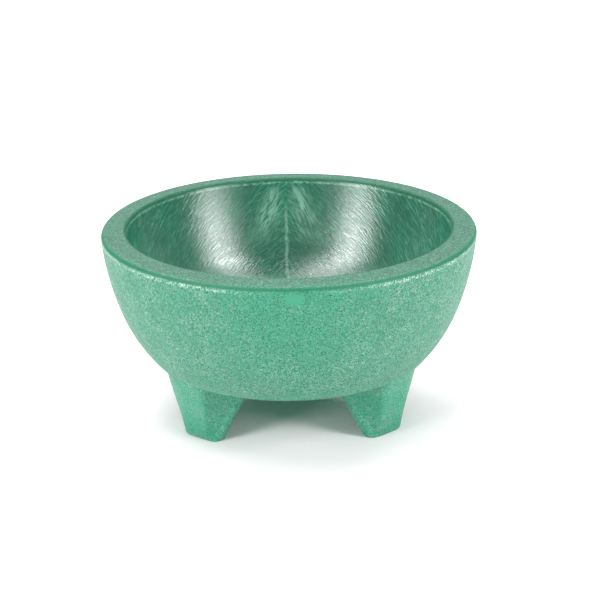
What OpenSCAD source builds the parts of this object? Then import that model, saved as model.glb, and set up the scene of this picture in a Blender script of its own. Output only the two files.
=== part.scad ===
// Salsa molcajete: a thick round bowl with a flat rim, standing on three short tapered legs.
// Millimetres, +Z up. The origin is on the table, under the centre of the bowl.
// The front is -Y, where the gap between two of the legs faces.

/* [Overall] */
// Width of the bowl across its rim
rim_d = 127; // [120:1:134]
// Height from the table to the top of the rim
total_h = 68.3; // [66:0.1:71]
// Height of the gap between the table and the underside of the bowl
leg_h = 23.3; // [21:0.1:25]

/* [Bowl wall] */
// Thickness of the wall, which is the width of the flat rim too
wall_t = 8.5; // [7:0.1:10]
// Thickness of the floor
floor_t = 7; // [6:0.5:8]
// How far the outer wall leans in, in degrees, where it leaves the rim
draft_angle = 4.3; // [3:0.1:6]
// Radius of the long arc in the upper part of the outer wall
upper_r = 92; // [88:1:96]
// Angle below level at which the upper arc turns into the lower one
turn_angle = 20.5; // [18:0.5:22]
// Radius of the tighter arc in the lower part of the outer wall
lower_r = 54.5; // [52:0.5:57]
// Radius of the corner where the inner wall turns into the floor
corner_r = 19; // [15:1:21]

/* [Edges] */
// How far the rim falls from its inner edge to its outer edge
rim_fall = 0.3; // [0:0.1:0.6]
// Rounding of the rim's outer edge
rim_edge_r = 1.9; // [1:0.1:2.5]
// Rounding of the rim's inner edge
lip_edge_r = 1; // [0.5:0.1:1.5]
// Rounding where the outer wall turns under the bowl
base_edge_r = 2.5; // [2:0.5:3]

/* [Gate mark] */
// Width of the flat spot that the mould's gate left under the rim
gate_w = 5; // [3:0.2:6]
// Height of the flat spot
gate_h = 3; // [2:0.1:4]
// Distance of the middle of the flat spot below the top of the rim
gate_drop = 4.2; // [4:0.1:8]
// Depth of the flat spot
gate_depth = 0.3; // [0.1:0.1:0.5]

/* [Legs] */
// Angle between one leg and the next
leg_step = 120; // [105:5:120]
// Distance from the middle of the bowl to the nose of a foot
foot_nose = 41.7; // [40:0.1:43]
// Distance from the middle of the bowl to the shoulders of a foot
foot_shoulder = 39; // [38:0.1:40]
// Width of a foot across its shoulders
foot_shoulder_w = 21.4; // [19:0.2:23]
// Distance from the middle of the bowl to the flat inner side of a foot
foot_heel = 32.3; // [31:0.1:34]
// Width of a foot across its inner side
foot_heel_w = 22.4; // [20:0.2:24]
// Distance from the middle of the bowl to the nose of a leg's root
root_nose = 46.2; // [45:0.1:46.2]
// Distance from the middle of the bowl to the shoulders of a leg's root
root_shoulder = 44; // [42:0.1:44]
// Width of a leg's root across its shoulders
root_shoulder_w = 28; // [26:0.2:29]
// Distance from the middle of the bowl to the flat inner side of a leg's root
root_heel = 22.2; // [20:0.1:25]
// Width of a leg's root across its inner side
root_heel_w = 33.4; // [30:0.2:35]
// Rounding of a leg's nose, where its two outer faces meet
nose_r = 5; // [3:0.5:6]
// Rounding of a leg's shoulders
shoulder_r = 3.7; // [2.5:0.1:4.5]
// Rounding of the two inner edges of a leg
heel_r = 3.1; // [2:0.1:4]

/* [Hidden] */
PLASTIC = "mediumseagreen";
ARC_STEPS = 14;
SLAB = 1;

// The rim's outer rounding, and below it an upper and a lower arc, each tangent to the last
rim_c = [rim_d / 2 - rim_edge_r, total_h - rim_fall - rim_edge_r];
upper_c = on_circle(rim_c, rim_edge_r - upper_r, -draft_angle);
lower_c = on_circle(upper_c, upper_r - lower_r, -turn_angle);
base_angle = angle_at(lower_c, lower_r - base_edge_r, leg_h + base_edge_r);
base_c = on_circle(lower_c, lower_r - base_edge_r, base_angle);

// The inner wall shares the upper arc's centre; its lip and its corner are tangent to it
inner_r = upper_r - wall_t;
lip_angle = angle_at(upper_c, inner_r + lip_edge_r, total_h - lip_edge_r);
lip_c = on_circle(upper_c, inner_r + lip_edge_r, lip_angle);
floor_z = leg_h + floor_t;
corner_angle = angle_at(upper_c, inner_r - corner_r, floor_z + corner_r);
corner_c = on_circle(upper_c, inner_r - corner_r, corner_angle);

// The gate mark lies square to the wall at its own height
gate_angle = angle_at(upper_c, upper_r, total_h - gate_drop);
gate_c = on_circle(upper_c, upper_r - gate_depth, gate_angle);

function on_circle(c, r, a) = [c[0] + r * cos(a), c[1] + r * sin(a)];

// Angle at which a circle about c reaches height z
function angle_at(c, r, z) = asin((z - c[1]) / r);

function arc(c, r, from, to) =
    [for (i = [0:ARC_STEPS]) on_circle(c, r, from + (to - from) * i / ARC_STEPS)];

// Half section of the bowl, from the axis under the floor round to the axis on the floor
function bowl_outline() = concat(
    [[0, leg_h]],
    arc(base_c, base_edge_r, -90, base_angle),
    arc(lower_c, lower_r, base_angle, -turn_angle),
    arc(upper_c, upper_r, -turn_angle, -draft_angle),
    arc(rim_c, rim_edge_r, -draft_angle, 90),
    arc(lip_c, lip_edge_r, 90, 180 + lip_angle),
    arc(upper_c, inner_r, lip_angle, corner_angle),
    arc(corner_c, corner_r, corner_angle, -90),
    [[0, floor_z]]
);

// The bowl in one piece: rim, wall and floor
module bowl() {
    color(PLASTIC) difference() {
        rotate_extrude($fn = 180) polygon(bowl_outline());
        gate_flat();
    }
}

// What the gate mark takes off the front of the wall
module gate_flat() {
    translate([0, -gate_c[0], gate_c[1]])
        rotate([-gate_angle, 0, 0])
            translate([-gate_w / 2, -SLAB, -gate_h / 2])
                cube([gate_w, SLAB, gate_h]);
}

// The rounded edges of one level slice of a leg that points along +X
module leg_slice(z, nose, shoulder, shoulder_w, heel, heel_w) {
    translate([nose - nose_r, 0, z]) cylinder(r = nose_r, h = SLAB, $fn = 48);
    for (side = [-1, 1]) {
        translate([shoulder - shoulder_r, side * (shoulder_w / 2 - shoulder_r), z])
            cylinder(r = shoulder_r, h = SLAB, $fn = 40);
        translate([heel + heel_r, side * (heel_w / 2 - heel_r), z])
            cylinder(r = heel_r, h = SLAB, $fn = 32);
    }
}

// A leg tapers from its root under the bowl to its foot, and both ends are cut off level
module leg(direction) {
    color(PLASTIC) rotate([0, 0, direction]) intersection() {
        hull() {
            leg_slice(-SLAB, foot_nose, foot_shoulder, foot_shoulder_w, foot_heel, foot_heel_w);
            leg_slice(leg_h, root_nose, root_shoulder, root_shoulder_w, root_heel, root_heel_w);
        }
        translate([0, -rim_d / 2, 0]) cube([rim_d / 2, rim_d, leg_h]);
    }
}

bowl();
leg(90 + leg_step);  // leg_front_left
leg(90 - leg_step);  // leg_front_right
leg(90);  // leg_back
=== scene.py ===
import math
import bpy
import numpy as np
from mathutils import Matrix, Vector


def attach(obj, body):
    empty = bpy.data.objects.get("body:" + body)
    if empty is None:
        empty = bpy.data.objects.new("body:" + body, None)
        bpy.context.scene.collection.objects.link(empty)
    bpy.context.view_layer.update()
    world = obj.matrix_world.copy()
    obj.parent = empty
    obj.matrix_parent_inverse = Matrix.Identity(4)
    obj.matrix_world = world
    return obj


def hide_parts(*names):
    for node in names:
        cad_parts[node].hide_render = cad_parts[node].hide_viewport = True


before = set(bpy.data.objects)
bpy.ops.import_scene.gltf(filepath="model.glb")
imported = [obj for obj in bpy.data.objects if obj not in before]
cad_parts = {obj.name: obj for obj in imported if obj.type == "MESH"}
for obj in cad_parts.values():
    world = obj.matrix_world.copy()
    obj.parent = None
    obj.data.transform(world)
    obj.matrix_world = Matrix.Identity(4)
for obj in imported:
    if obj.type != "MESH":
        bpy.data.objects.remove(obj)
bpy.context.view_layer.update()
mm = 0.001


def addNode(tree, kind, links=None, **settings):
    # a node with its settings, and each input either linked to a socket or given a value
    node = tree.nodes.new(kind)
    for name, value in settings.items():
        setattr(node, name, value)
    for name, value in (links or {}).items():
        if isinstance(value, bpy.types.NodeSocket):
            tree.links.new(value, node.inputs[name])
        else:
            node.inputs[name].default_value = value
    return node


def linear(hexColour):
    # sRGB hex to the linear values that a shader takes
    parts = [int(hexColour[i:i + 2], 16) / 255 for i in (1, 3, 5)]
    return [c / 12.92 if c <= 0.04045 else ((c + 0.055) / 1.055) ** 2.4 for c in parts] + [1]


# a long lens half a metre away, looking down on the bowl a little
cameraView = {
    "lens": 89.69, "sensor": 36.0, "distance": 508.0,       # mm
    "height": 17.726, "side": -1.1,                         # degrees up and round from the front
    "yaw": -0.3805, "pitch": -2.9412, "roll": 0.9024,       # degrees off the line to the target
    "target": 68.0,                                         # mm up, the middle of the rim
}


def placeCamera(v):
    eye, side = math.radians(v["height"]), math.radians(v["side"])
    aim = Vector((0, math.cos(eye), -math.sin(eye)))
    place = Vector((0, 0, v["target"] * mm)) - aim * v["distance"] * mm
    right = Vector((1, 0, 0))
    up = right.cross(aim)
    turn = Matrix.Rotation(math.radians(v["yaw"]), 3, up)
    aim, right = turn @ aim, turn @ right
    turn = Matrix.Rotation(math.radians(v["pitch"]), 3, right)
    aim, up = turn @ aim, turn @ up
    turn = Matrix.Rotation(math.radians(v["roll"]), 3, aim)
    right, up = turn @ right, turn @ up
    axes = Matrix((right, up, -aim)).transposed().to_4x4()
    camera = bpy.data.objects.new("Camera", bpy.data.cameras.new("Camera"))
    camera.data.lens = v["lens"]
    camera.data.sensor_width = v["sensor"]
    camera.data.clip_start = 0.01
    camera.matrix_world = Matrix.Rotation(side, 4, "Z") @ Matrix.Translation(place) @ axes
    bpy.context.scene.collection.objects.link(camera)
    bpy.context.scene.camera = camera


placeCamera(cameraView)
print("camera placed")

plasticLook = {
    "body": "#1d9070",        # the dyed plastic itself
    "deepAndPaintedShade": "#096342",        # where the skin is thin; also painted shade on the rim's rounded edge and inner edge
    "fibre": "#9fbfb2",       # gas drawn out just under the skin, silvery
    "pit": "#0a3324",         # a small open pit
    "window": "#2f8d6c",      # the smooth flat of the gate
    "rim": "#2f5647",         # the flat of the rim, painted darker and greyer
    "paintedGlint": "#dcefe6",       # painted glint just under the rim's rounded edge, a highlight
    # from here on sizes are in mm, and heights and reaches are mm above the table and off the axis
    "curlWidth": 0.4, "bendSize": 2.0, "bendBy": 2.6,
    "patchesPerMm": 0.12, "patchShare": 0.55,               # patches with fewer curls, 8 mm across
    "speckSpacing": 1.0, "speckSize": 0.27, "speckFewer": 0.35,     # share of the pits left out
    "tonesPerMm": 1.9, "toneDetail": 3.0,                   # the plastic's own light and dark, 0.5 mm
    "gate": (0, -63.0, 64.1),                               # the middle of the gate's flat
    "gateScale": (1 / 2.5, 1 / 6, 1 / 1.5),                 # 1 / half its width, depth and height
    "ringSpacing": 1.3, "ringWay": (3.0, 17.0), "ringDepth": 0.14,      # fading out from the gate
    # the fibres are real; their share rising away from the gate also paints the sides' greyer sheen
    "fibreWay": (10.0, 38.0), "fibreAndSideSheenShare": (0.35, 0.8),    # near the gate, and far from it
    # the legs are painted paler as light, where the bowl shades them
    "legHeight": (16.0, 28.0), "legShare": 0.85, "legPaintedLight": 0.6,
    # the flat top of the rim is painted darker and greyer
    "rimHeight": (67.6, 67.9), "rimDarkerGreyer": (0.8, 0.3),
    # the darkening at the inner edge of the rim is painted shade
    "lipReach": (55.6, 56.2), "lipHeight": (60.0, 62.0), "lipPaintedShade": 0.9,
    # the darkening of the rim's rounded edge is painted shade
    "turnHeight": 67.2, "turnHalf": (0.2, 0.7), "turnShare": 0.25, "turnPaintedShade": 0.8,
    # the pale just under the rounded edge is a painted glint
    "paintedGlintHeight": 66.0, "paintedGlintHalf": (0.25, 0.8),
    "paintedGlintWay": (6.0, 24.0), "paintedGlintShare": (0.1, 1.25),     # growing away from the gate
    "grainHeight": 0.06,
    "plainRough": 0.62, "fibreRough": 0.3, "sheen": 0.06,
}
insideLook = {
    "body": "#218166",        # the same plastic, against a polished core
    "shade": "#115c46",       # between the streaks
    "weldAndLineHighlight": "#94c2ae",        # where gas gathered: the weld line, the plumes and the streaks; also the painted highlight of the line below the lip
    # from here on sizes are in mm, slopes in degrees, and "down" is a way down from the lip
    "streakWidth": 0.5, "streakLength": 3.6, "streakSlope": 42,
    "barbWidth": 0.6, "barbLength": 4.5, "barbSlope": 66,
    "streakHeight": 0.042,
    "lipWay": 123.2,          # height plus reach at the lip, from which "down" is counted
    "wallReach": 52.0,        # the reach at which the unrolled wall is true to scale
    "wobblesPerMm": 0.06, "wobbleBy": 2.5,                  # the streaks aren't quite straight
    "floorReach": (24.0, 38.0), "curlsPerMm": 0.9,
    "plumeMiddle": (0.22, 3.2), "plumeWidth": (0.26, 3.0),  # growth with "down", and start
    "plumeTop": (2.5, 5.5), "plumeEnd": (14.0, 33.0), "plumeShare": 0.8,
    "stemsPerMm": 0.22, "stemWander": 1.6, "stemHalf": 1.1, "stemTop": (9.0, 18.0),
    "stemShare": (0.25, 0.45),                              # always, and more where a barb is
    "tonesPerMm": 0.08, "streakPale": 0.22,
    # the pale line below the lip is a painted highlight
    "lineHeight": 66.5, "lineHalf": (0.1, 0.55), "lineHighlightShare": 0.75, "breaksPerMm": 0.7,
    "plainRough": 0.38, "streakRough": 0.25,
}


def bareMaterial(name):
    # an empty material, its node tree, and the place on the object in mm
    material = bpy.data.materials.new(name)
    material.use_nodes = True
    tree = material.node_tree
    tree.nodes.clear()
    place = addNode(tree, "ShaderNodeTexCoord").outputs["Object"]
    inMm = addNode(tree, "ShaderNodeVectorMath", {0: place, "Scale": 1 / mm}, operation="SCALE").outputs[0]
    return material, tree, inMm


def outerSkin(look):
    # Structural-foam polypropylene as it leaves a grained mould: satin, with gas drawn out
    # under the skin into short silvery curls, and small open pits.
    material, t, inMm = bareMaterial("foamed polypropylene, grained outside")
    # the curls are the lines where a bent noise crosses its middle value
    bend = addNode(t, "ShaderNodeTexNoise", {
        "Vector": inMm, "Scale": 1 / look["bendSize"], "Detail": 1.0}).outputs["Color"]
    bend = addNode(t, "ShaderNodeVectorMath", {0: bend, 1: (0.5, 0.5, 0.5)},
                   operation="SUBTRACT").outputs[0]
    bend = addNode(t, "ShaderNodeVectorMath", {0: bend, 1: [look["bendBy"]] * 3, 2: inMm},
                   operation="MULTIPLY_ADD").outputs[0]
    curlNoise = addNode(t, "ShaderNodeTexNoise", {
        "Vector": bend, "Scale": 0.55 / look["curlWidth"], "Detail": 2.0, "Roughness": 0.6}).outputs["Fac"]
    away = addNode(t, "ShaderNodeMath", {0: curlNoise, 1: 0.5}, operation="SUBTRACT").outputs[0]
    away = addNode(t, "ShaderNodeMath", {0: away}, operation="ABSOLUTE").outputs[0]
    curls = addNode(t, "ShaderNodeMapRange", {
        "Value": away, "From Min": 0.0, "From Max": 0.06, "To Min": 1.0, "To Max": 0.0},
        interpolation_type="SMOOTHSTEP").outputs[0]
    patch = addNode(t, "ShaderNodeTexNoise", {
        "Vector": inMm, "Scale": look["patchesPerMm"], "Detail": 3.0, "Roughness": 0.6}).outputs["Fac"]
    patch = addNode(t, "ShaderNodeMapRange", {
        "Value": patch, "From Min": 0.35, "From Max": 0.68, "To Min": look["patchShare"], "To Max": 1.0},
        interpolation_type="SMOOTHSTEP").outputs[0]
    curls = addNode(t, "ShaderNodeMath", {0: curls, 1: patch}, operation="MULTIPLY").outputs[0]

    # how many of them show: fewer near the gate and on the legs, more on the flat of the rim; the rise
    # away from the gate also paints the greyer sheen of the sides
    fromGate = addNode(t, "ShaderNodeVectorMath", {0: inMm, 1: look["gate"]},
                       operation="SUBTRACT").outputs[0]
    gateWay = addNode(t, "ShaderNodeVectorMath", {0: fromGate}, operation="LENGTH").outputs["Value"]
    share = addNode(t, "ShaderNodeMapRange", {
        "Value": gateWay, "From Min": look["fibreWay"][0], "From Max": look["fibreWay"][1],
        "To Min": look["fibreAndSideSheenShare"][0], "To Max": look["fibreAndSideSheenShare"][1]},
        interpolation_type="SMOOTHSTEP").outputs[0]
    high = addNode(t, "ShaderNodeSeparateXYZ", {0: inMm}).outputs[2]
    rimTop = addNode(t, "ShaderNodeMapRange", {
        "Value": high, "From Min": look["rimHeight"][0], "From Max": look["rimHeight"][1]}).outputs[0]
    legs = addNode(t, "ShaderNodeMapRange", {
        "Value": high, "From Min": look["legHeight"][0], "From Max": look["legHeight"][1],
        "To Min": look["legShare"], "To Max": 1.0}).outputs[0]
    share = addNode(t, "ShaderNodeMath", {0: share, 1: legs}, operation="MULTIPLY").outputs[0]
    share = addNode(t, "ShaderNodeMath", {0: rimTop, 1: 1.0, 2: share},
                    operation="MULTIPLY_ADD").outputs[0]
    # painted shade: the inner edge of the rim is painted darker
    flatPlace = addNode(t, "ShaderNodeVectorMath", {0: inMm, 1: (1.0, 1.0, 0.0)},
                        operation="MULTIPLY").outputs[0]
    reach = addNode(t, "ShaderNodeVectorMath", {0: flatPlace}, operation="LENGTH").outputs["Value"]
    lip = addNode(t, "ShaderNodeMapRange", {
        "Value": reach, "From Min": look["lipReach"][0], "From Max": look["lipReach"][1],
        "To Min": look["lipPaintedShade"], "To Max": 0.0}).outputs[0]
    up = addNode(t, "ShaderNodeMapRange", {
        "Value": high, "From Min": look["lipHeight"][0], "From Max": look["lipHeight"][1]}).outputs[0]
    lip = addNode(t, "ShaderNodeMath", {0: lip, 1: up}, operation="MULTIPLY").outputs[0]
    # the rounded edge of the rim has few fibres, and is painted darker there as shade
    roundedEdgeMask = addNode(t, "ShaderNodeMath", {0: high, 1: look["turnHeight"]}, operation="SUBTRACT").outputs[0]
    roundedEdgeMask = addNode(t, "ShaderNodeMath", {0: roundedEdgeMask}, operation="ABSOLUTE").outputs[0]
    roundedEdgeMask = addNode(t, "ShaderNodeMapRange", {
        "Value": roundedEdgeMask, "From Min": look["turnHalf"][0], "From Max": look["turnHalf"][1],
        "To Min": look["turnShare"], "To Max": 1.0}).outputs[0]
    share = addNode(t, "ShaderNodeMath", {0: share, 1: roundedEdgeMask}, operation="MULTIPLY").outputs[0]
    curls = addNode(t, "ShaderNodeMath", {0: curls, 1: share}, operation="MULTIPLY").outputs[0]

    cells = addNode(t, "ShaderNodeTexVoronoi", {"Vector": inMm, "Scale": 1 / look["speckSpacing"]})
    speck = addNode(t, "ShaderNodeMapRange", {
        "Value": cells.outputs["Distance"], "From Min": 0.05, "From Max": look["speckSize"],
        "To Min": 1.0, "To Max": 0.0}, interpolation_type="SMOOTHSTEP").outputs[0]
    pick = addNode(t, "ShaderNodeSeparateColor", {0: cells.outputs["Color"]}).outputs[0]
    pick = addNode(t, "ShaderNodeMath", {0: pick, 1: look["speckFewer"]},
                   operation="GREATER_THAN").outputs[0]
    speck = addNode(t, "ShaderNodeMath", {0: speck, 1: pick}, operation="MULTIPLY").outputs[0]

    # the gate: a smooth pale window, with flow rings spreading from it
    rings = addNode(t, "ShaderNodeMath", {0: gateWay, 1: 2 * math.pi / look["ringSpacing"]},
                    operation="MULTIPLY").outputs[0]
    rings = addNode(t, "ShaderNodeMath", {0: rings}, operation="SINE").outputs[0]
    ringFade = addNode(t, "ShaderNodeMapRange", {
        "Value": gateWay, "From Min": look["ringWay"][0], "From Max": look["ringWay"][1],
        "To Min": look["ringDepth"], "To Max": 0.0}, interpolation_type="SMOOTHSTEP").outputs[0]
    rings = addNode(t, "ShaderNodeMath", {0: rings, 1: ringFade}, operation="MULTIPLY").outputs[0]
    window = addNode(t, "ShaderNodeVectorMath", {0: fromGate, 1: look["gateScale"]},
                     operation="MULTIPLY").outputs[0]
    window = addNode(t, "ShaderNodeVectorMath", {0: window}, operation="ABSOLUTE").outputs[0]
    window = addNode(t, "ShaderNodeSeparateXYZ", {0: window})
    edge = addNode(t, "ShaderNodeMath", {0: window.outputs[0], 1: window.outputs[2]},
                   operation="MAXIMUM").outputs[0]
    edge = addNode(t, "ShaderNodeMath", {0: edge, 1: window.outputs[1]}, operation="MAXIMUM").outputs[0]
    gate = addNode(t, "ShaderNodeMapRange", {
        "Value": edge, "From Min": 0.95, "From Max": 1.15, "To Min": 1.0, "To Max": 0.0},
        interpolation_type="SMOOTHSTEP").outputs[0]
    offGate = addNode(t, "ShaderNodeMath", {0: 1.0, 1: gate}, operation="SUBTRACT").outputs[0]
    curls = addNode(t, "ShaderNodeMath", {0: curls, 1: offGate}, operation="MULTIPLY").outputs[0]
    speck = addNode(t, "ShaderNodeMath", {0: speck, 1: offGate}, operation="MULTIPLY").outputs[0]

    # the plastic's own tone, with painted light on the legs where the bowl's overhang shades them, and
    # everything else laid over it
    fine = addNode(t, "ShaderNodeTexNoise", {
        "Vector": inMm, "Scale": look["tonesPerMm"], "Detail": look["toneDetail"],
        "Roughness": 0.6}).outputs["Fac"]
    fine = addNode(t, "ShaderNodeMapRange", {
        "Value": fine, "From Min": 0.39, "From Max": 0.61}).outputs[0]
    fine = addNode(t, "ShaderNodeMath", {0: fine, 1: rings}, operation="ADD").outputs[0]
    paintedLegLight = addNode(t, "ShaderNodeMapRange", {
        "Value": legs, "From Min": look["legShare"], "From Max": 1.0,
        "To Min": look["legPaintedLight"], "To Max": 0.0}).outputs[0]
    fine = addNode(t, "ShaderNodeMath", {0: fine, 1: paintedLegLight}, operation="ADD").outputs[0]
    base = addNode(t, "ShaderNodeMix", {0: fine, 6: linear(look["deepAndPaintedShade"]), 7: linear(look["body"])},
                   data_type="RGBA").outputs[2]
    # a painted glint over the fibres under the rounded edge, growing away from the gate; only the lower
    # roughness there is real
    paintedGlint = addNode(t, "ShaderNodeMath", {0: high, 1: look["paintedGlintHeight"]},
                    operation="SUBTRACT").outputs[0]
    paintedGlint = addNode(t, "ShaderNodeMath", {0: paintedGlint}, operation="ABSOLUTE").outputs[0]
    paintedGlint = addNode(t, "ShaderNodeMapRange", {
        "Value": paintedGlint, "From Min": look["paintedGlintHalf"][0], "From Max": look["paintedGlintHalf"][1],
        "To Min": 1.0, "To Max": 0.0}).outputs[0]
    paintedGlint = addNode(t, "ShaderNodeMath", {0: paintedGlint, 1: curls}, operation="MULTIPLY").outputs[0]
    paintedGlintShare = addNode(t, "ShaderNodeMapRange", {
        "Value": gateWay, "From Min": look["paintedGlintWay"][0], "From Max": look["paintedGlintWay"][1],
        "To Min": look["paintedGlintShare"][0], "To Max": look["paintedGlintShare"][1]}).outputs[0]
    paintedGlint = addNode(t, "ShaderNodeMath", {0: paintedGlint, 1: paintedGlintShare}, operation="MULTIPLY").outputs[0]
    # painted shade: the rounded edge of the rim is painted darker
    paintedShadeOnTurn = addNode(t, "ShaderNodeMapRange", {
        "Value": roundedEdgeMask, "From Min": look["turnShare"], "From Max": 1.0,
        "To Min": look["turnPaintedShade"], "To Max": 0.0}).outputs[0]
    # the flat top of the rim is painted darker and greyer
    rimDarkening = addNode(t, "ShaderNodeMapRange", {
        "Value": fine, "From Min": 0.0, "From Max": 1.0,
        "To Min": look["rimDarkerGreyer"][0], "To Max": look["rimDarkerGreyer"][1]}).outputs[0]
    rimDarkening = addNode(t, "ShaderNodeMath", {0: rimTop, 1: rimDarkening}, operation="MULTIPLY").outputs[0]
    # the curls, pits and window are the plastic's own; the glint and the darker rounded and inner edges
    # are painted light and shade, and the rim flat is painted darker and greyer
    for amount, colour in ((curls, "fibre"), (speck, "pit"), (gate, "window"), (paintedGlint, "paintedGlint"),
                           (paintedShadeOnTurn, "deepAndPaintedShade"), (rimDarkening, "rim"), (lip, "deepAndPaintedShade")):
        base = addNode(t, "ShaderNodeMix", {0: amount, 6: base, 7: linear(look[colour])},
                       data_type="RGBA").outputs[2]

    rough = addNode(t, "ShaderNodeMapRange", {
        "Value": curls, "To Min": look["plainRough"], "To Max": look["fibreRough"]}).outputs[0]
    shine = addNode(t, "ShaderNodeMapRange", {
        "Value": paintedGlint, "From Min": 0.1, "From Max": 0.5, "To Min": 1.0, "To Max": 0.4}).outputs[0]
    rough = addNode(t, "ShaderNodeMath", {0: rough, 1: shine}, operation="MULTIPLY").outputs[0]
    height = addNode(t, "ShaderNodeMath", {0: curls, 1: speck}, operation="SUBTRACT").outputs[0]
    bump = addNode(t, "ShaderNodeBump", {
        "Strength": 1.0, "Distance": look["grainHeight"] * mm, "Height": height}).outputs[0]
    shader = addNode(t, "ShaderNodeBsdfPrincipled", {
        "Base Color": base, "Roughness": rough, "Normal": bump, "IOR": 1.5,
        "Sheen Weight": look["sheen"], "Sheen Roughness": 0.4})
    addNode(t, "ShaderNodeOutputMaterial", {"Surface": shader.outputs[0]})
    return material


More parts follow.
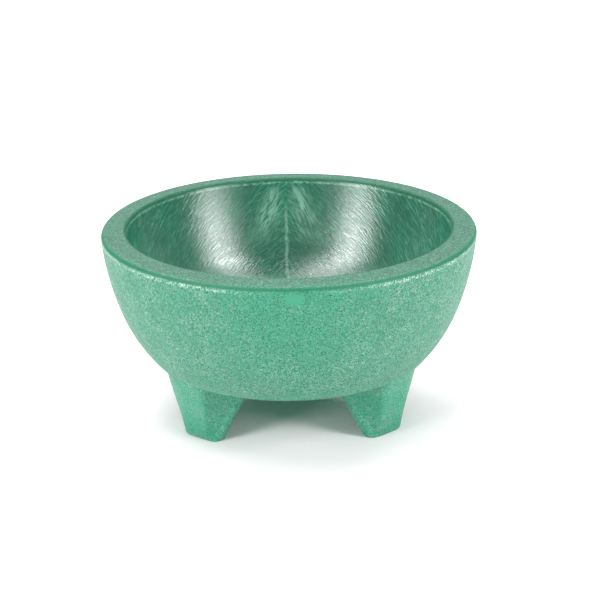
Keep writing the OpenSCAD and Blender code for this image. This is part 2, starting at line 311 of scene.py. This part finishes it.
def innerSkin(look):
    # The same plastic against the mould's polished core: smoother and glossier, with long slanting
    # gas streaks that run down and away from the weld line at the back, where the flow met itself.
    material, t, inMm = bareMaterial("foamed polypropylene, smooth inside")
    # the wall unrolled: the way round from the weld line, and the way down from the lip
    axes = addNode(t, "ShaderNodeSeparateXYZ", {0: inMm})
    x, y, z = axes.outputs[0], axes.outputs[1], axes.outputs[2]
    flat = addNode(t, "ShaderNodeCombineXYZ", {0: x, 1: y, 2: 0.0}).outputs[0]
    reach = addNode(t, "ShaderNodeVectorMath", {0: flat}, operation="LENGTH").outputs["Value"]
    down = addNode(t, "ShaderNodeMath", {0: z, 1: reach}, operation="ADD").outputs[0]
    down = addNode(t, "ShaderNodeMath", {0: look["lipWay"], 1: down}, operation="SUBTRACT").outputs[0]
    around = addNode(t, "ShaderNodeMath", {0: x, 1: y}, operation="ARCTAN2").outputs[0]
    around = addNode(t, "ShaderNodeMath", {0: around, 1: look["wallReach"]},
                     operation="MULTIPLY").outputs[0]
    aside = addNode(t, "ShaderNodeMath", {0: around}, operation="ABSOLUTE").outputs[0]
    wobble = addNode(t, "ShaderNodeTexNoise", {
        "Vector": inMm, "Scale": look["wobblesPerMm"], "Detail": 1.0}).outputs["Fac"]
    wobble = addNode(t, "ShaderNodeMath", {0: wobble, 1: look["wobbleBy"]},
                     operation="MULTIPLY").outputs[0]
    downBent = addNode(t, "ShaderNodeMath", {0: down, 1: wobble}, operation="ADD").outputs[0]
    unrolled = addNode(t, "ShaderNodeCombineXYZ", {0: aside, 1: downBent, 2: 0.0}).outputs[0]
    # the two sides mirror each other in slope, and this keeps them from being mirror images
    sideShift = addNode(t, "ShaderNodeMath", {0: x, 1: 0.1}, operation="MULTIPLY").outputs[0]
    sideShift = addNode(t, "ShaderNodeCombineXYZ", {0: 0.0, 1: 0.0, 2: sideShift}).outputs[0]
    drawn = []
    for kind in ("streak", "barb"):
        across = addNode(t, "ShaderNodeVectorRotate", {
            "Vector": unrolled, "Angle": -math.radians(look[kind + "Slope"])},
            rotation_type="Z_AXIS").outputs[0]
        across = addNode(t, "ShaderNodeVectorMath", {
            0: across, 1: (1 / look[kind + "Length"], 1 / look[kind + "Width"], 1), 2: sideShift},
            operation="MULTIPLY_ADD").outputs[0]
        noise = addNode(t, "ShaderNodeTexNoise", {
            "Vector": across, "Scale": 1.0, "Detail": 2.0, "Roughness": 0.5}).outputs["Fac"]
        drawn.append(addNode(t, "ShaderNodeMapRange", {
            "Value": noise, "From Min": 0.3, "From Max": 0.72},
            interpolation_type="SMOOTHSTEP").outputs[0])
    streaks, barbs = drawn

    # on the floor the streaks give way to plain curls
    onFloor = addNode(t, "ShaderNodeMapRange", {
        "Value": reach, "From Min": look["floorReach"][0], "From Max": look["floorReach"][1],
        "To Min": 1.0, "To Max": 0.0}, interpolation_type="SMOOTHSTEP").outputs[0]
    plain = addNode(t, "ShaderNodeTexNoise", {
        "Vector": inMm, "Scale": look["curlsPerMm"], "Detail": 2.0, "Distortion": 1.2}).outputs["Fac"]
    plain = addNode(t, "ShaderNodeMapRange", {
        "Value": plain, "From Min": 0.3, "From Max": 0.72}, interpolation_type="SMOOTHSTEP").outputs[0]
    streaks = addNode(t, "ShaderNodeMix", {0: onFloor, 2: streaks, 3: plain},
                      data_type="FLOAT").outputs[0]

    # two plumes of barbs below the lip, and the stem of the weld line between them
    growth, begin = look["plumeMiddle"]
    middle = addNode(t, "ShaderNodeMath", {0: down, 1: growth, 2: begin},
                     operation="MULTIPLY_ADD").outputs[0]
    off = addNode(t, "ShaderNodeMath", {0: aside, 1: middle}, operation="SUBTRACT").outputs[0]
    off = addNode(t, "ShaderNodeMath", {0: off}, operation="ABSOLUTE").outputs[0]
    growth, begin = look["plumeWidth"]
    width = addNode(t, "ShaderNodeMath", {0: down, 1: growth, 2: begin},
                    operation="MULTIPLY_ADD").outputs[0]
    plume = addNode(t, "ShaderNodeMath", {0: off, 1: width}, operation="DIVIDE").outputs[0]
    plume = addNode(t, "ShaderNodeMapRange", {"Value": plume, "To Min": 1.0, "To Max": 0.0},
                    interpolation_type="SMOOTHSTEP").outputs[0]
    top = addNode(t, "ShaderNodeMapRange", {
        "Value": down, "From Min": look["plumeTop"][0], "From Max": look["plumeTop"][1]},
        interpolation_type="SMOOTHSTEP").outputs[0]
    low = addNode(t, "ShaderNodeMapRange", {
        "Value": down, "From Min": look["plumeEnd"][0], "From Max": look["plumeEnd"][1],
        "To Min": 1.0, "To Max": 0.0}, interpolation_type="SMOOTHSTEP").outputs[0]
    plume = addNode(t, "ShaderNodeMath", {0: plume, 1: top}, operation="MULTIPLY").outputs[0]
    plume = addNode(t, "ShaderNodeMath", {0: plume, 1: low}, operation="MULTIPLY").outputs[0]
    wander = addNode(t, "ShaderNodeTexNoise", {
        "Vector": inMm, "Scale": look["stemsPerMm"], "Detail": 2.0}).outputs["Fac"]
    wander = addNode(t, "ShaderNodeMath", {
        0: wander, 1: look["stemWander"], 2: -look["stemWander"] / 2}, operation="MULTIPLY_ADD").outputs[0]
    wander = addNode(t, "ShaderNodeMath", {0: wander, 1: around}, operation="ADD").outputs[0]
    wander = addNode(t, "ShaderNodeMath", {0: wander}, operation="ABSOLUTE").outputs[0]
    stem = addNode(t, "ShaderNodeMapRange", {
        "Value": wander, "From Min": 0.0, "From Max": look["stemHalf"], "To Min": 1.0, "To Max": 0.0},
        interpolation_type="SMOOTHSTEP").outputs[0]
    start = addNode(t, "ShaderNodeMapRange", {
        "Value": down, "From Min": look["stemTop"][0], "From Max": look["stemTop"][1]},
        interpolation_type="SMOOTHSTEP").outputs[0]
    stem = addNode(t, "ShaderNodeMath", {0: stem, 1: start}, operation="MULTIPLY").outputs[0]
    offFloor = addNode(t, "ShaderNodeMath", {0: 1.0, 1: onFloor}, operation="SUBTRACT").outputs[0]
    stem = addNode(t, "ShaderNodeMath", {0: stem, 1: offFloor}, operation="MULTIPLY").outputs[0]
    feather = addNode(t, "ShaderNodeMath", {0: plume, 1: barbs}, operation="MULTIPLY").outputs[0]
    feather = addNode(t, "ShaderNodeMath", {0: feather, 1: look["plumeShare"]},
                      operation="MULTIPLY").outputs[0]
    always, barbed = look["stemShare"]
    broken = addNode(t, "ShaderNodeMath", {0: barbs, 1: barbed, 2: always},
                     operation="MULTIPLY_ADD").outputs[0]
    stem = addNode(t, "ShaderNodeMath", {0: stem, 1: broken}, operation="MULTIPLY").outputs[0]
    feather = addNode(t, "ShaderNodeMath", {0: feather, 1: stem}, operation="MAXIMUM").outputs[0]

    tone = addNode(t, "ShaderNodeTexNoise", {
        "Vector": inMm, "Scale": look["tonesPerMm"], "Detail": 3.0}).outputs["Fac"]
    tone = addNode(t, "ShaderNodeMapRange", {"Value": tone, "From Min": 0.3, "From Max": 0.7}).outputs[0]
    tone = addNode(t, "ShaderNodeMath", {0: tone, 1: streaks}, operation="MULTIPLY").outputs[0]
    base = addNode(t, "ShaderNodeMix", {0: tone, 6: linear(look["shade"]), 7: linear(look["body"])},
                   data_type="RGBA").outputs[2]
    pale = addNode(t, "ShaderNodeMapRange", {
        "Value": streaks, "From Min": 0.45, "From Max": 1.0,
        "To Min": 0.0, "To Max": look["streakPale"]}).outputs[0]
    # a broken pale line just below the lip, where the core's edge met the skin: a painted highlight along
    # that edge
    line = addNode(t, "ShaderNodeMath", {0: z, 1: look["lineHeight"]}, operation="SUBTRACT").outputs[0]
    line = addNode(t, "ShaderNodeMath", {0: line}, operation="ABSOLUTE").outputs[0]
    line = addNode(t, "ShaderNodeMapRange", {
        "Value": line, "From Min": look["lineHalf"][0], "From Max": look["lineHalf"][1],
        "To Min": look["lineHighlightShare"], "To Max": 0.0}).outputs[0]
    ragged = addNode(t, "ShaderNodeTexNoise", {
        "Vector": inMm, "Scale": look["breaksPerMm"], "Detail": 3.0}).outputs["Fac"]
    ragged = addNode(t, "ShaderNodeMapRange", {
        "Value": ragged, "From Min": 0.35, "From Max": 0.6}).outputs[0]
    line = addNode(t, "ShaderNodeMath", {0: line, 1: ragged}, operation="MULTIPLY").outputs[0]
    # the feather and the pale streaks are the plastic's own; the line is a painted highlight
    for amount in (feather, pale, line):
        base = addNode(t, "ShaderNodeMix", {0: amount, 6: base, 7: linear(look["weldAndLineHighlight"])},
                       data_type="RGBA").outputs[2]

    rough = addNode(t, "ShaderNodeMapRange", {
        "Value": streaks, "To Min": look["plainRough"], "To Max": look["streakRough"]}).outputs[0]
    bump = addNode(t, "ShaderNodeBump", {
        "Strength": 1.0, "Distance": look["streakHeight"] * mm, "Height": streaks}).outputs[0]
    roundTheAxis = addNode(t, "ShaderNodeTangent", direction_type="RADIAL", axis="Z").outputs[0]
    # the IOR is above the plastic's own 1.5, to give the polished skin its strong, drawn-out gloss
    shader = addNode(t, "ShaderNodeBsdfPrincipled", {
        "Base Color": base, "Roughness": rough, "Normal": bump, "Tangent": roundTheAxis, "IOR": 2.2,
        "Anisotropic": 0.85, "Anisotropic Rotation": 0.25})
    addNode(t, "ShaderNodeOutputMaterial", {"Surface": shader.outputs[0]})
    return material


outerPlastic = outerSkin(plasticLook)
innerPlastic = innerSkin(insideLook)
print("plastic mixed")

bowlShape = {     # mm and degrees
    "rim": 126.96, "top": 68.3, "under": 23.3, "wall": 8.5, "floor": 7.0,
    "draft": 4.3, "upperArc": 92.0, "turn": 20.5, "lowerArc": 54.5, "corner": 19.0,
    "rimFall": 0.3, "rimEdge": 1.9, "lipEdge": 1.0, "baseEdge": 2.5,
    "gateWidth": 5.0, "gateHeight": 3.0, "gateDrop": 4.2, "gateDepth": 0.3,
    "gateFade": (-0.1, 0.5),       # past the flat's edge, where its pressing fades out
    "gateNear": 2.5,               # only skin this close to the flat's plane is pressed
    # how closely the profile's points lie, and how many times it is repeated round the axis
    "step": 0.8, "flatStep": 2.0, "baseStep": 0.3, "rimStep": 0.25, "lipStep": 0.15,
    "columns": 480, "sharpAbove": 60,
}


def onCircle(centre, radius, degrees):
    a = math.radians(degrees)
    return (centre[0] + radius * math.cos(a), centre[1] + radius * math.sin(a))


def angleAt(centre, radius, height):
    return math.degrees(math.asin((height - centre[1]) / radius))


def arcPoints(centre, radius, start, end, step):
    count = max(4, math.ceil(abs(math.radians(end - start)) * radius / step))
    return [onCircle(centre, radius, start + (end - start) * i / count) for i in range(count + 1)]


def bowlArcs(b):
    # each round stretch of the half section: centre, radius, start and end in degrees, step
    rim = (b["rim"] / 2 - b["rimEdge"], b["top"] - b["rimFall"] - b["rimEdge"])
    upper = onCircle(rim, b["rimEdge"] - b["upperArc"], -b["draft"])
    lower = onCircle(upper, b["upperArc"] - b["lowerArc"], -b["turn"])
    baseAngle = angleAt(lower, b["lowerArc"] - b["baseEdge"], b["under"] + b["baseEdge"])
    base = onCircle(lower, b["lowerArc"] - b["baseEdge"], baseAngle)
    inner = b["upperArc"] - b["wall"]
    lipAngle = angleAt(upper, inner + b["lipEdge"], b["top"] - b["lipEdge"])
    lip = onCircle(upper, inner + b["lipEdge"], lipAngle)
    floor = b["under"] + b["floor"]
    cornerAngle = angleAt(upper, inner - b["corner"], floor + b["corner"])
    corner = onCircle(upper, inner - b["corner"], cornerAngle)
    return {
        "base": (base, b["baseEdge"], -90, baseAngle, b["baseStep"]),
        "lower": (lower, b["lowerArc"], baseAngle, -b["turn"], b["step"]),
        "upper": (upper, b["upperArc"], -b["turn"], -b["draft"], b["step"]),
        "rim": (rim, b["rimEdge"], -b["draft"], 90, b["rimStep"]),
        "lip": (lip, b["lipEdge"], 90, 180 + lipAngle, b["lipStep"]),
        "inner": (upper, inner, lipAngle, cornerAngle, b["step"]),
        "corner": (corner, b["corner"], cornerAngle, -90, b["step"]),
    }


def straightPoints(a, b, step):
    count = max(1, math.ceil(math.dist(a, b) / step))
    return [(a[0] + (b[0] - a[0]) * i / count, a[1] + (b[1] - a[1]) * i / count)
            for i in range(count + 1)]


bowlArc = bowlArcs(bowlShape)
profile = [(0, bowlShape["under"])]


def addPoints(points):
    # leaves out a point that lies on the last one
    profile.extend(p for p in points if math.dist(p, profile[-1]) > 1e-6)


for part, arc in bowlArc.items():
    points = arcPoints(*arc)
    addPoints(straightPoints(profile[-1], points[0], bowlShape["flatStep"]))
    if part == "inner":           # from here on the skin is the inner one
        innerRow = len(profile) - 1
    addPoints(points)
addPoints(straightPoints(profile[-1], (0, profile[-1][1]), bowlShape["flatStep"]))
print("bowl profile", len(profile), "points")


def profileObject(points):
    mesh = bpy.data.meshes.new("bowlProfile")
    mesh.from_pydata([(r * mm, 0, z * mm) for r, z in points],
                     [(i, i + 1) for i in range(len(points) - 1)], [])
    return bpy.data.objects.new("bowlProfile", mesh)


def latheTree(b):
    # turns a profile round the z axis and presses the gate's flat spot into the front
    tree = bpy.data.node_groups.new("turned bowl", "GeometryNodeTree")
    face = tree.interface
    face.new_socket("Geometry", in_out="INPUT", socket_type="NodeSocketGeometry")
    for name, kind in (("Profile", "Object"), ("Rows", "Int"), ("Columns", "Int"),
                       ("Gate Width", "Float"), ("Gate Height", "Float"), ("Gate Depth", "Float"),
                       ("Gate Centre", "Vector"), ("Gate Lean", "Float"), ("Inner Row", "Int"),
                       ("Outside", "Material"), ("Inside", "Material")):
        face.new_socket(name, in_out="INPUT", socket_type="NodeSocket" + kind)
    face.new_socket("Geometry", in_out="OUTPUT", socket_type="NodeSocketGeometry")
    given = addNode(tree, "NodeGroupInput").outputs
    outline = addNode(tree, "GeometryNodeObjectInfo", {"Object": given["Profile"]}).outputs["Geometry"]
    # a flat sheet with one row for each point of the profile, rolled up and joined along its seam
    columns = addNode(tree, "ShaderNodeMath", {0: given["Columns"], 1: 1.0}, operation="ADD").outputs[0]
    sheet = addNode(tree, "GeometryNodeMeshGrid", {
        "Size X": 1.0, "Size Y": 1.0,
        "Vertices X": columns, "Vertices Y": given["Rows"]}).outputs["Mesh"]
    index = addNode(tree, "GeometryNodeInputIndex").outputs[0]
    row = addNode(tree, "ShaderNodeMath", {0: index, 1: given["Rows"]}, operation="MODULO").outputs[0]
    sheet = addNode(tree, "GeometryNodeStoreNamedAttribute", {
        "Geometry": sheet, "Name": "row", "Value": row}, data_type="FLOAT", domain="POINT").outputs[0]
    column = addNode(tree, "ShaderNodeMath", {0: index, 1: given["Rows"]}, operation="DIVIDE").outputs[0]
    column = addNode(tree, "ShaderNodeMath", {0: column}, operation="FLOOR").outputs[0]
    point = addNode(tree, "GeometryNodeSampleIndex", {
        "Geometry": outline, "Value": addNode(tree, "GeometryNodeInputPosition").outputs[0],
        "Index": row}, data_type="FLOAT_VECTOR", domain="POINT").outputs[0]
    turn = addNode(tree, "ShaderNodeMath", {0: column, 1: given["Columns"]},
                   operation="DIVIDE").outputs[0]
    turn = addNode(tree, "ShaderNodeMath", {0: turn, 1: 2 * math.pi}, operation="MULTIPLY").outputs[0]
    turned = addNode(tree, "ShaderNodeVectorRotate", {"Vector": point, "Angle": turn},
                     rotation_type="Z_AXIS").outputs[0]
    body = addNode(tree, "GeometryNodeSetPosition", {"Geometry": sheet, "Position": turned}).outputs[0]
    body = addNode(tree, "GeometryNodeMergeByDistance", {"Geometry": body, "Distance": 1e-6}).outputs[0]

    # the gate's flat: inside a soft-edged window, skin that stands proud of its plane goes back to it
    here = addNode(tree, "GeometryNodeInputPosition").outputs[0]
    local = addNode(tree, "ShaderNodeVectorMath", {0: here, 1: given["Gate Centre"]},
                    operation="SUBTRACT").outputs[0]
    local = addNode(tree, "ShaderNodeVectorRotate", {"Vector": local, "Angle": given["Gate Lean"]},
                    rotation_type="X_AXIS").outputs[0]
    part = addNode(tree, "ShaderNodeSeparateXYZ", {0: local})
    window = 1.0
    for axis, size in ((0, "Gate Width"), (2, "Gate Height")):
        away = addNode(tree, "ShaderNodeMath", {0: part.outputs[axis]}, operation="ABSOLUTE").outputs[0]
        half = addNode(tree, "ShaderNodeMath", {0: given[size], 1: 0.5}, operation="MULTIPLY").outputs[0]
        over = addNode(tree, "ShaderNodeMath", {0: away, 1: half}, operation="SUBTRACT").outputs[0]
        fade = addNode(tree, "ShaderNodeMapRange", {
            "Value": over, "From Min": b["gateFade"][0] * mm, "From Max": b["gateFade"][1] * mm,
            "To Min": 1.0, "To Max": 0.0}, interpolation_type="SMOOTHSTEP").outputs[0]
        window = addNode(tree, "ShaderNodeMath", {0: window, 1: fade}, operation="MULTIPLY").outputs[0]
    proud = addNode(tree, "ShaderNodeMath", {0: part.outputs[1], 1: given["Gate Depth"]},
                    operation="SUBTRACT").outputs[0]
    near = addNode(tree, "ShaderNodeMath", {0: proud, 1: -b["gateNear"] * mm},
                   operation="GREATER_THAN").outputs[0]
    proud = addNode(tree, "ShaderNodeMath", {0: proud, 1: 0.0}, operation="MINIMUM").outputs[0]
    press = addNode(tree, "ShaderNodeMath", {0: proud, 1: -1.0}, operation="MULTIPLY").outputs[0]
    press = addNode(tree, "ShaderNodeMath", {0: press, 1: window}, operation="MULTIPLY").outputs[0]
    press = addNode(tree, "ShaderNodeMath", {0: press, 1: near}, operation="MULTIPLY").outputs[0]
    shift = addNode(tree, "ShaderNodeCombineXYZ", {0: 0.0, 1: press, 2: 0.0}).outputs[0]
    body = addNode(tree, "GeometryNodeSetPosition", {"Geometry": body, "Offset": shift}).outputs[0]
    body = addNode(tree, "GeometryNodeRealizeInstances", {"Geometry": body}).outputs[0]
    body = addNode(tree, "GeometryNodeSetMaterial", {
        "Geometry": body, "Material": given["Outside"]}).outputs[0]
    row = addNode(tree, "GeometryNodeInputNamedAttribute", {"Name": "row"}, data_type="FLOAT").outputs[0]
    inner = addNode(tree, "FunctionNodeCompare", {0: row, 1: given["Inner Row"]},
                    data_type="FLOAT", operation="GREATER_THAN").outputs[0]
    body = addNode(tree, "GeometryNodeSetMaterial", {
        "Geometry": body, "Selection": inner, "Material": given["Inside"]}).outputs[0]
    addNode(tree, "NodeGroupOutput", {"Geometry": body})
    return tree


def grow(name, tree, values):
    # runs a node tree on an empty mesh and keeps its result as a plain mesh
    maker = bpy.data.objects.new(name + "Maker", bpy.data.meshes.new(name + "Maker"))
    bpy.context.scene.collection.objects.link(maker)
    modifier = maker.modifiers.new("nodes", "NODES")
    modifier.node_group = tree
    for socket in tree.interface.items_tree:
        if socket.in_out == "INPUT" and socket.name in values:
            modifier[socket.identifier] = values[socket.name]
    graph = bpy.context.evaluated_depsgraph_get()
    mesh = bpy.data.meshes.new_from_object(maker.evaluated_get(graph))
    mesh.name = name
    bpy.data.objects.remove(maker)
    piece = bpy.data.objects.new(name, mesh)
    bpy.context.scene.collection.objects.link(piece)
    return piece


def finishPiece(piece, sharpAbove):
    # smooth faces with sharp edges above an angle, and nothing left over from the node tree
    mesh = piece.data
    if mesh.materials[0] is None:      # the empty slot that the grid leaves
        mesh.materials.pop(index=0)
    if "row" in mesh.attributes:       # it only told the node tree where the inner skin starts
        mesh.attributes.remove(mesh.attributes["row"])
    mesh.polygons.foreach_set("use_smooth", [True] * len(mesh.polygons))
    mesh.set_sharp_from_angle(angle=math.radians(sharpAbove))
    mesh.update()
    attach(piece, "root")


upperCentre = bowlArc["upper"][0]
gateAngle = angleAt(upperCentre, bowlShape["upperArc"], bowlShape["top"] - bowlShape["gateDrop"])
gateSpot = onCircle(upperCentre, bowlShape["upperArc"], gateAngle)
bowl = grow("moulded_bowl", latheTree(bowlShape), {
    "Profile": profileObject(profile), "Rows": len(profile), "Columns": bowlShape["columns"],
    "Gate Width": bowlShape["gateWidth"] * mm, "Gate Height": bowlShape["gateHeight"] * mm,
    "Gate Depth": bowlShape["gateDepth"] * mm,
    "Gate Centre": (0, -gateSpot[0] * mm, gateSpot[1] * mm),
    "Gate Lean": math.radians(gateAngle), "Inner Row": innerRow,
    "Outside": outerPlastic, "Inside": innerPlastic})
finishPiece(bowl, bowlShape["sharpAbove"])
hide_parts("bowl")
print("bowl turned,", len(bowl.data.polygons), "faces")

legShape = {      # mm: nose, shoulder and heel of the foot and of the root, as reach and width
    "foot": {"nose": 41.7, "shoulder": (39.0, 21.4), "heel": (32.3, 22.4)},
    "root": {"nose": 46.2, "shoulder": (44.0, 28.0), "heel": (22.2, 33.4)},
    "noseRound": 5.0, "shoulderRound": 3.7, "heelRound": 3.1,
    "footEdge": 0.5, "rootFillet": 1.6,
    "sunkEdge": 0.004, "sunkCap": 0.35,       # how far the fillet's edge and the cap end inside the bowl
    "roundPoints": 13, "sidePoints": 26, "sideRows": 26, "filletRows": 8, "sharpAbove": 50,
    "directions": {"leg_front_left": 210, "leg_front_right": -30, "leg_back": 90},      # degrees
}


def legOutline(s, section):
    # points and outward normals round one level section of a leg that points along +x:
    # five discs, for the nose, the shoulders and the heels, joined by their outer tangents
    reach, width = section["shoulder"]
    heelReach, heelWidth = section["heel"]
    n, sh, he = s["noseRound"], s["shoulderRound"], s["heelRound"]
    discs = [(section["nose"] - n, 0, n), (reach - sh, width / 2 - sh, sh),
             (heelReach + he, heelWidth / 2 - he, he), (heelReach + he, he - heelWidth / 2, he),
             (reach - sh, sh - width / 2, sh)]
    normals = []
    for i, (x0, y0, r0) in enumerate(discs):
        x1, y1, r1 = discs[(i + 1) % len(discs)]
        length = math.hypot(x1 - x0, y1 - y0)
        ux, uy = (x1 - x0) / length, (y1 - y0) / length
        c = (r0 - r1) / length
        k = math.sqrt(1 - c * c)
        normals.append(math.atan2(uy * c - ux * k, ux * c + uy * k))
    outline, facing = [], []
    for i, (cx, cy, r) in enumerate(discs):
        start, end = normals[i - 1], normals[i]
        while end < start:
            end += 2 * math.pi
        for a in np.linspace(start, end, s["roundPoints"]):
            outline.append((cx + r * math.cos(a), cy + r * math.sin(a)))
            facing.append((math.cos(a), math.sin(a)))
        x1, y1, r1 = discs[(i + 1) % len(discs)]
        a = normals[i]
        p0 = np.array((cx + r * math.cos(a), cy + r * math.sin(a)))
        p1 = np.array((x1 + r1 * math.cos(a), y1 + r1 * math.sin(a)))
        for f in np.linspace(0, 1, s["sidePoints"])[1:-1]:
            outline.append(tuple(p0 + (p1 - p0) * f))
            facing.append((math.cos(a), math.sin(a)))
    return np.array(outline), np.array(facing)


def underHeight(reach):
    # how far the bowl's underside has risen above its flat at this distance from the axis
    centre, radius = bowlArc["base"][0], bowlArc["base"][1]
    over = np.clip(reach - centre[0], 0, radius * 0.95)
    return radius - np.sqrt(radius ** 2 - over ** 2)


def legMesh(s, top):
    # a leg from its rounded foot up to the fillet that runs into the bowl's underside, as rings
    foot, footNormal = legOutline(s, s["foot"])
    root, rootNormal = legOutline(s, s["root"])
    normal = footNormal + rootNormal
    normal /= np.linalg.norm(normal, axis=1)[:, None]
    lean = np.arctan2(np.sum((root - foot) * normal, axis=1), top)
    count = len(foot)
    rings = []

    def ring(z, shift):
        share = (z / top)[:, None]
        rings.append(np.column_stack([foot + (root - foot) * share + normal * shift[:, None], z]))

    edge = s["footEdge"]
    for a in np.radians((0, 22.5, 45, 67.5, 90)):
        ring(np.full(count, edge * (1 - math.cos(a))), np.full(count, -edge * (1 - math.sin(a))))
    fillet = s["rootFillet"]
    tangent = fillet * np.tan(math.pi / 4 - lean / 2)
    start = top - tangent * np.cos(lean)
    for f in np.linspace(0, 1, s["sideRows"])[1:]:
        ring(edge + (start - edge) * f, np.zeros(count))
    for f in np.linspace(0, 1, s["filletRows"] + 1)[1:]:
        a = (math.pi - lean) * (1 - f) + math.pi / 2 * f
        z = top - fillet + fillet * np.sin(a)
        wall = np.tan(lean) * (z - top)
        ring(z, tangent + fillet * np.cos(a) - wall)
        reach = np.hypot(rings[-1][:, 0], rings[-1][:, 1])
        rings[-1][:, 2] += underHeight(reach) * f * f * (3 - 2 * f)
    rings[-1][:, 2] += s["sunkEdge"]
    inner = rings[-1] + np.array((0, 0, s["sunkCap"]))
    rings.append(inner)
    vertices = [(rings[0][:, 0].mean(), 0, 0)] + [tuple(p) for r in rings for p in r]
    vertices.append((inner[:, 0].mean(), 0, inner[:, 2].min()))
    faces = []
    for k in range(count):
        after = (k + 1) % count
        faces.append((0, 1 + after, 1 + k))
        for j in range(len(rings) - 1):
            a, b = 1 + j * count, 1 + (j + 1) * count
            faces.append((a + k, a + after, b + after, b + k))
        last = 1 + (len(rings) - 1) * count
        faces.append((last + k, last + after, len(vertices) - 1))
    mesh = bpy.data.meshes.new("legMaster")
    mesh.from_pydata([tuple(c * mm for c in v) for v in vertices], [], faces)
    return bpy.data.objects.new("legMaster", mesh)


def legTree():
    # one leg taken from the master, turned to its own direction
    tree = bpy.data.node_groups.new("leg in its place", "GeometryNodeTree")
    face = tree.interface
    face.new_socket("Geometry", in_out="INPUT", socket_type="NodeSocketGeometry")
    for name, kind in (("Leg", "Object"), ("Direction", "Float"), ("Material", "Material")):
        face.new_socket(name, in_out="INPUT", socket_type="NodeSocket" + kind)
    face.new_socket("Geometry", in_out="OUTPUT", socket_type="NodeSocketGeometry")
    given = addNode(tree, "NodeGroupInput").outputs
    leg = addNode(tree, "GeometryNodeObjectInfo", {
        "Object": given["Leg"], "As Instance": True}).outputs["Geometry"]
    angle = addNode(tree, "ShaderNodeCombineXYZ", {0: 0.0, 1: 0.0, 2: given["Direction"]}).outputs[0]
    leg = addNode(tree, "GeometryNodeRotateInstances", {
        "Instances": leg, "Rotation": angle, "Local Space": False}).outputs[0]
    leg = addNode(tree, "GeometryNodeRealizeInstances", {"Geometry": leg}).outputs[0]
    leg = addNode(tree, "GeometryNodeSetMaterial", {
        "Geometry": leg, "Material": given["Material"]}).outputs[0]
    addNode(tree, "NodeGroupOutput", {"Geometry": leg})
    return tree


legNodes = legTree()
legMaster = legMesh(legShape, bowlShape["under"])
for name, direction in legShape["directions"].items():
    leg = grow("moulded_" + name, legNodes, {
        "Leg": legMaster, "Direction": math.radians(direction), "Material": outerPlastic})
    finishPiece(leg, legShape["sharpAbove"])
    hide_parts(name)
print("legs placed")

studio = {
    "floorSize": 12.0, "floorColour": "#fcf6f9", "roomLight": 0.1,
    "distance": 2.2, "aim": 0.04,      # m, from the softboxes to the point they face, and its height
    # each softbox: direction round from +x and up in degrees, width and height in m, watts
    "softboxes": {
        "left strip": (216, 24, 0.85, 1.8, 44.0),
        "left high": (215, 70, 1.0, 1.0, 16.0),
        "right strip": (328, 26, 0.85, 1.8, 44.5),
        "back left": (120, 56, 1.5, 1.3, 30.0),
        "back right": (48, 60, 1.5, 1.3, 26.0),
    },
}


def buildStudio(s):
    half = s["floorSize"] / 2
    mesh = bpy.data.meshes.new("floor")
    corners = [(-half, -half, 0), (half, -half, 0), (half, half, 0), (-half, half, 0)]
    mesh.from_pydata(corners, [], [(0, 1, 2, 3)])
    floor = bpy.data.objects.new("floor", mesh)
    bpy.context.scene.collection.objects.link(floor)
    paper = bpy.data.materials.new("white studio paper")
    paper.use_nodes = True
    paper.node_tree.nodes.clear()
    matt = addNode(paper.node_tree, "ShaderNodeBsdfDiffuse", {"Color": linear(s["floorColour"])})
    addNode(paper.node_tree, "ShaderNodeOutputMaterial", {"Surface": matt.outputs[0]})
    mesh.materials.append(paper)
    world = bpy.data.worlds.new("dark room")
    world.use_nodes = True
    world.node_tree.nodes.clear()
    air = addNode(world.node_tree, "ShaderNodeBackground", {
        "Color": (1, 1, 1, 1), "Strength": s["roomLight"]})
    addNode(world.node_tree, "ShaderNodeOutputWorld", {"Surface": air.outputs[0]})
    bpy.context.scene.world = world
    aim = Vector((0, 0, s["aim"]))
    for name, (side, up, width, height, watts) in s["softboxes"].items():
        lamp = bpy.data.lights.new(name, "AREA")
        lamp.shape = "ELLIPSE"
        lamp.size, lamp.size_y = width, height
        lamp.energy = watts
        side, up = math.radians(side), math.radians(up)
        away = Vector((math.cos(up) * math.cos(side), math.cos(up) * math.sin(side), math.sin(up)))
        box = bpy.data.objects.new(name, lamp)
        box.location = aim + away * s["distance"]
        box.rotation_euler = away.to_track_quat("Z", "Y").to_euler()
        bpy.context.scene.collection.objects.link(box)
    bpy.context.scene.view_settings.view_transform = "Standard"


buildStudio(studio)
print("studio lit")
